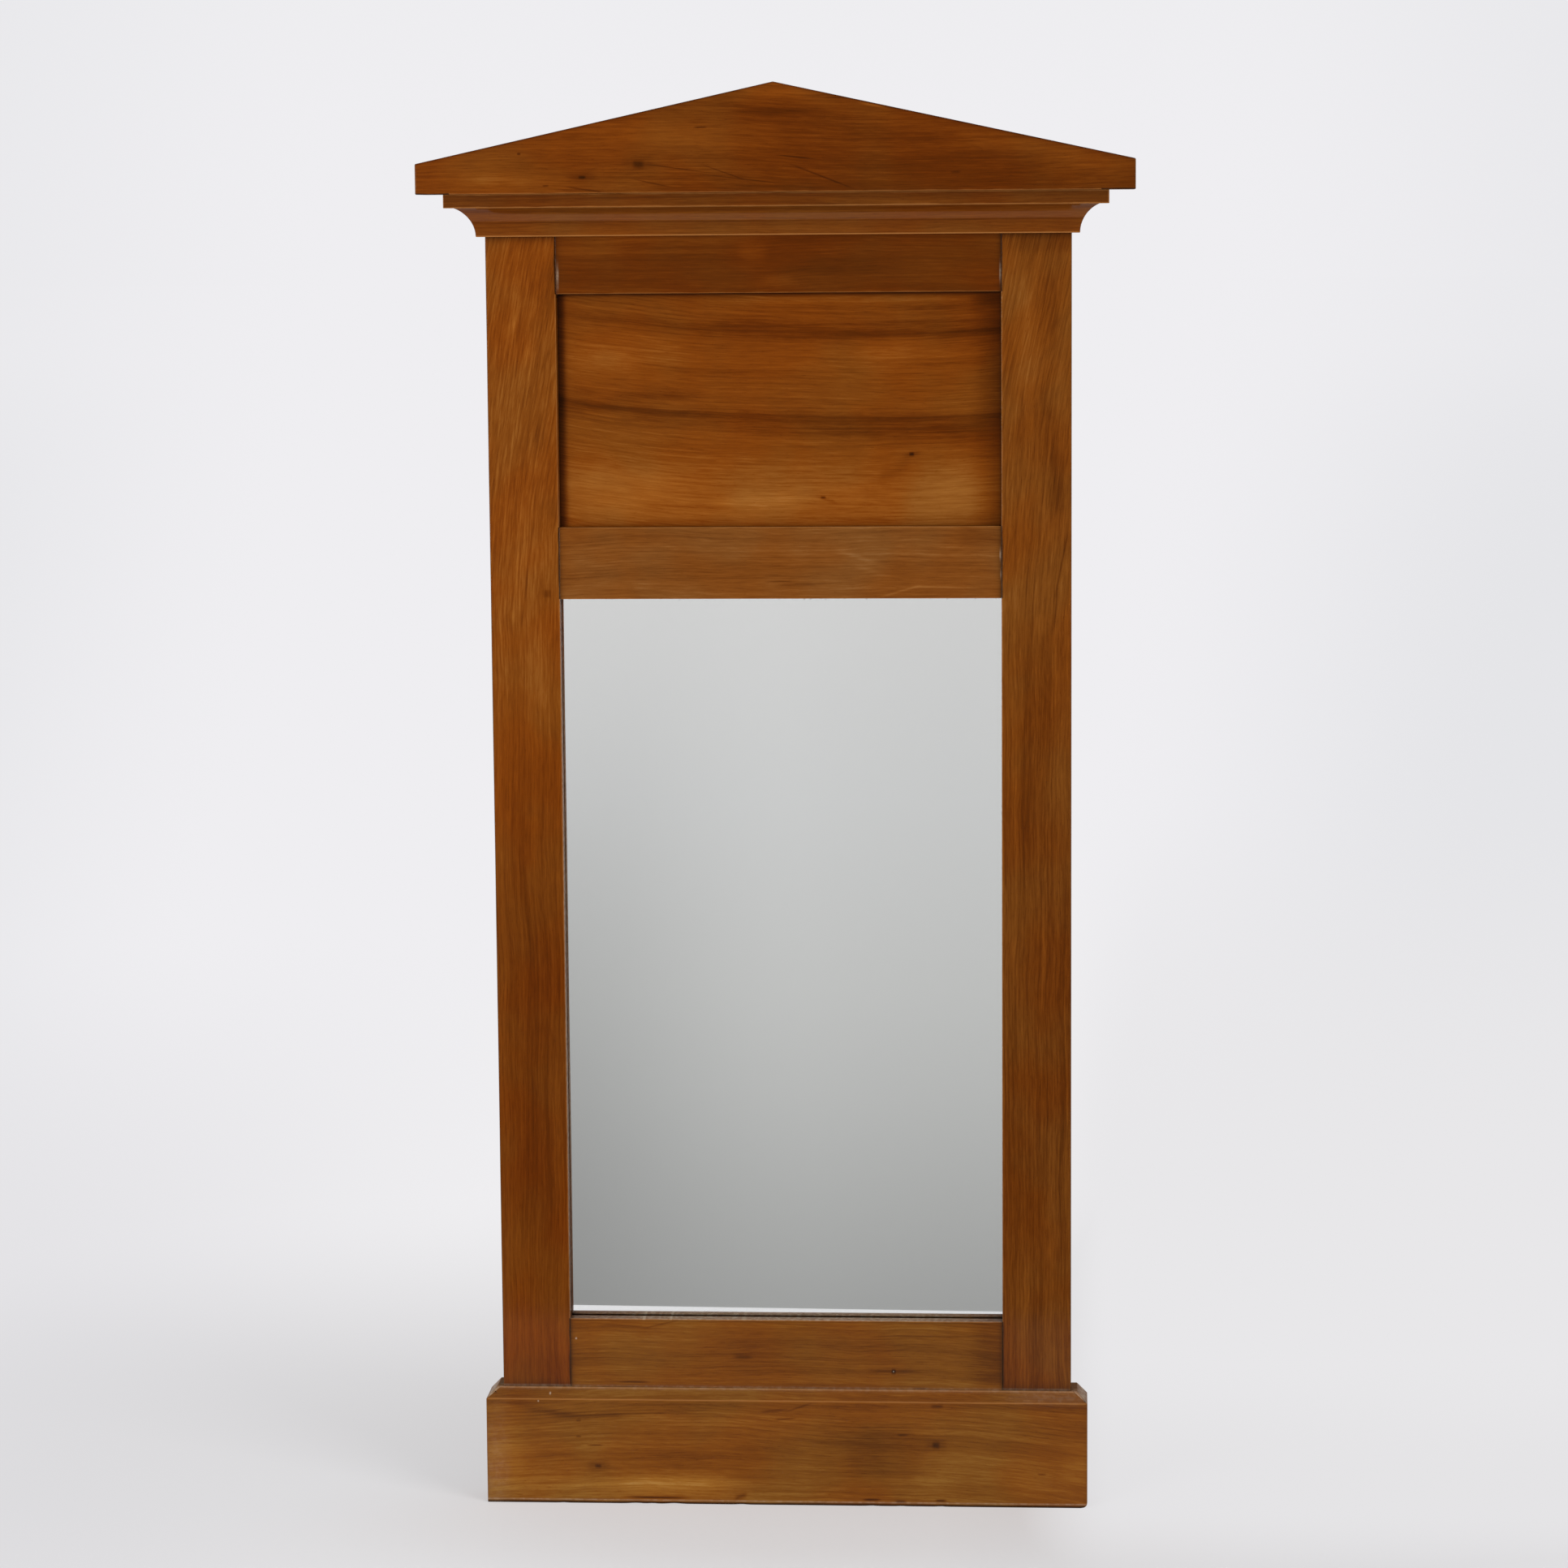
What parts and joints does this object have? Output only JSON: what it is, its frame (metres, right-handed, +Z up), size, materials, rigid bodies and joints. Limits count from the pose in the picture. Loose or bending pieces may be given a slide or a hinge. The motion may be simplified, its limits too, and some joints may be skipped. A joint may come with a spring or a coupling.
{
  "type": "wall mirror",
  "caption": "Tall wall mirror in a fruitwood frame with a plinth, a plain recessed panel above the glass, a cove cornice and a low gable.",
  "frame": {"origin": "middle of the bounding box's underside, on the table under the plinth", "axes": "+Z up to the ridge of the gable, +Y from the front to the wall, +X to the viewer's right"},
  "size_m": [0.539, 0.0694, 1.1],
  "materials": {
    "stile_cherry": "satin French polish, grain upright",
    "rail_cherry": "satin French polish, grain across",
    "panel_cherry": "satin French polish, figured, grain across",
    "plinth_cherry": "satin French polish, worn at the foot, grain across",
    "moulding_cherry": "satin French polish, grain along the moulding",
    "pediment_cherry": "satin French polish, grain across",
    "spruce": "bare aged softwood",
    "glass": "clear polished plate",
    "silvering": "bright reflecting coat",
    "brass": "dull old brass",
    "iron": "dark aged iron"
  },
  "bodies": {
    "mirror": {"left_stile": "stile_cherry", "right_stile": "stile_cherry", "top_rail": "rail_cherry", "middle_rail": "rail_cherry", "bottom_rail": "rail_cherry", "frieze_panel": "panel_cherry", "mirror_glass": "glass", "mirror_silvering": "silvering", "glass_wedges": "spruce", "backboard_top": "spruce", "backboard_middle": "spruce", "backboard_bottom": "spruce", "backboard_nails": "iron", "plinth_front": "plinth_cherry", "plinth_left_return": "plinth_cherry", "plinth_right_return": "plinth_cherry", "plinth_blocks": "spruce", "plinth_pins": "iron", "cove_front": "moulding_cherry", "cove_left_return": "moulding_cherry", "cove_right_return": "moulding_cherry", "cove_pins": "iron", "cornice_board": "moulding_cherry", "cornice_nails": "iron", "pediment_board": "pediment_cherry", "pediment_left_return": "pediment_cherry", "pediment_right_return": "pediment_cherry", "pediment_blocks": "spruce", "left_hanger_strap": "brass", "right_hanger_strap": "brass", "hanger_screws": "iron"},
    "left_ring": {"left_hanger_ring": "brass"},
    "right_ring": {"right_hanger_ring": "brass"}
  },
  "joints": [
    {"name": "left_ring_swing", "type": "hinge", "parent": "mirror", "child": "left_ring", "pos_m": [-0.19565, 0.03166, 0.905], "axis": [1, 0, 0], "range_deg": [0, 180]},
    {"name": "right_ring_swing", "type": "hinge", "parent": "mirror", "child": "right_ring", "pos_m": [0.19565, 0.03166, 0.905], "axis": [1, 0, 0], "range_deg": [0, 180]}
  ]
}
